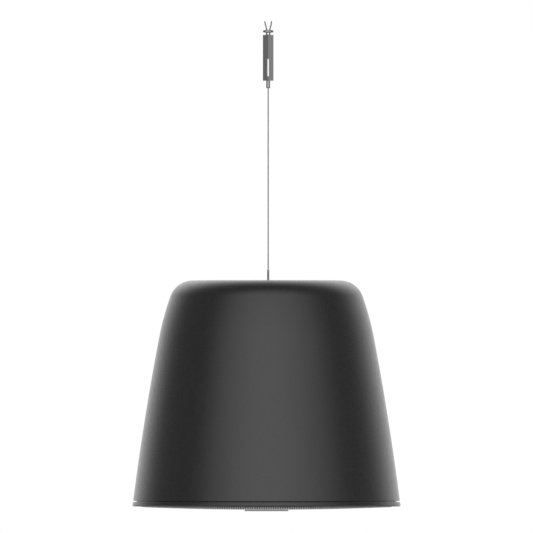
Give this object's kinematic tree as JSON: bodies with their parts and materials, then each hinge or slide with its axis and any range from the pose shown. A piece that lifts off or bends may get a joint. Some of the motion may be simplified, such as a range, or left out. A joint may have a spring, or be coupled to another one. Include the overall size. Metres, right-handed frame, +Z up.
{
  "type": "pendant speaker",
  "caption": "Bell-shaped hanging loudspeaker with a domed perforated grille, hung on one steel wire from a push-release cable gripper.",
  "frame": {"origin": "on the suspension wire's axis, at the underside of the anchor head's flange, where the ceiling fitting carries the speaker", "axes": "+Z up along the wire, +X to the right and +Y away from the viewer in the picture's view"},
  "size_m": [0.3004, 0.3004, 0.549],
  "materials": {
    "hanger_steel": "satin",
    "nozzle_steel": "turned",
    "spring_wire": "bright",
    "rope_steel": "stranded",
    "brass": "turned",
    "housing_paint": "satin",
    "baffle_paint": "satin",
    "grille_metal": "powder coated",
    "plate_metal": "brushed",
    "magnet_steel": "plated",
    "screw_steel": "blackened",
    "basket_metal": "powder coated",
    "motor_steel": "plated",
    "bracket_steel": "galvanised",
    "ferrite": "sintered",
    "coil_wire": "enamelled copper",
    "spider_cloth": "resin treated",
    "cone_paper": "pressed",
    "surround_rubber": "matt",
    "gasket_foam": "foam",
    "dome_cloth": "coated",
    "black_plastic": "moulded",
    "block_plastic": "moulded",
    "knob_plastic": "moulded",
    "board": "lacquered",
    "capacitor_film": "film",
    "wadding": "felted"
  },
  "bodies": {
    "housing": {"anchor_head": "hanger_steel", "anchor_prongs": "spring_wire", "gripper_body": "hanger_steel", "gripper_bush": "hanger_steel", "nozzle_spring": "spring_wire", "grip_collet": "brass", "suspension_wire": "rope_steel", "wire_ferrule": "nozzle_steel", "shell": "housing_paint", "baffle": "baffle_paint", "grille": "grille_metal", "bare_plate": "plate_metal", "grille_magnet_1": "magnet_steel", "grille_magnet_2": "magnet_steel", "grille_magnet_3": "magnet_steel", "grille_magnet_4": "magnet_steel", "baffle_screw_1": "screw_steel", "baffle_screw_2": "screw_steel", "baffle_screw_3": "screw_steel", "baffle_screw_4": "screw_steel", "driver_screw_1": "screw_steel", "driver_screw_2": "screw_steel", "driver_screw_3": "screw_steel", "driver_screw_4": "screw_steel", "basket": "basket_metal", "front_plate": "motor_steel", "magnet_ring": "ferrite", "pole_yoke": "motor_steel", "spider": "spider_cloth", "surround": "surround_rubber", "driver_gasket": "gasket_foam", "tweeter_body": "black_plastic", "tweeter_dome": "dome_cloth", "port_tube": "black_plastic", "top_bracket": "bracket_steel", "bracket_screw_1": "screw_steel", "bracket_screw_2": "screw_steel", "transformer": "motor_steel", "safety_insert": "nozzle_steel", "terminal_cup": "black_plastic", "cup_screw_1": "screw_steel", "cup_screw_2": "screw_steel", "cup_screw_3": "screw_steel", "cup_screw_4": "screw_steel", "terminal_block": "block_plastic", "terminal_screw_1": "bracket_steel", "terminal_screw_2": "bracket_steel", "terminal_screw_3": "bracket_steel", "terminal_screw_4": "bracket_steel", "selector_body": "black_plastic", "crossover_board": "board", "inductor": "coil_wire", "capacitor_1": "capacitor_film", "capacitor_2": "capacitor_film", "wadding": "wadding"},
    "nozzle": {"release_nozzle": "nozzle_steel"},
    "selector": {"tap_selector_knob": "knob_plastic"},
    "moving_cone": {"cone": "cone_paper", "voice_coil": "coil_wire"}
  },
  "joints": [
    {"name": "release_push", "type": "slide", "parent": "housing", "child": "nozzle", "axis": [0, 0, 1], "range_m": [0, 0.001], "stiffness_N_per_m": 500, "springref_m": -0.001, "deforming": ["nozzle_spring"]},
    {"name": "tap_selector_turn", "type": "hinge", "parent": "housing", "child": "selector", "pos_m": [0.0161, 0.048, -0.285], "axis": [0, 0, 1], "range_deg": [0, 150]},
    {"name": "cone_travel", "type": "slide", "parent": "housing", "child": "moving_cone", "axis": [0, 0, 1], "range_m": [-0.004, 0.004], "stiffness_N_per_m": 1500, "deforming": ["surround", "spider"]}
  ]
}
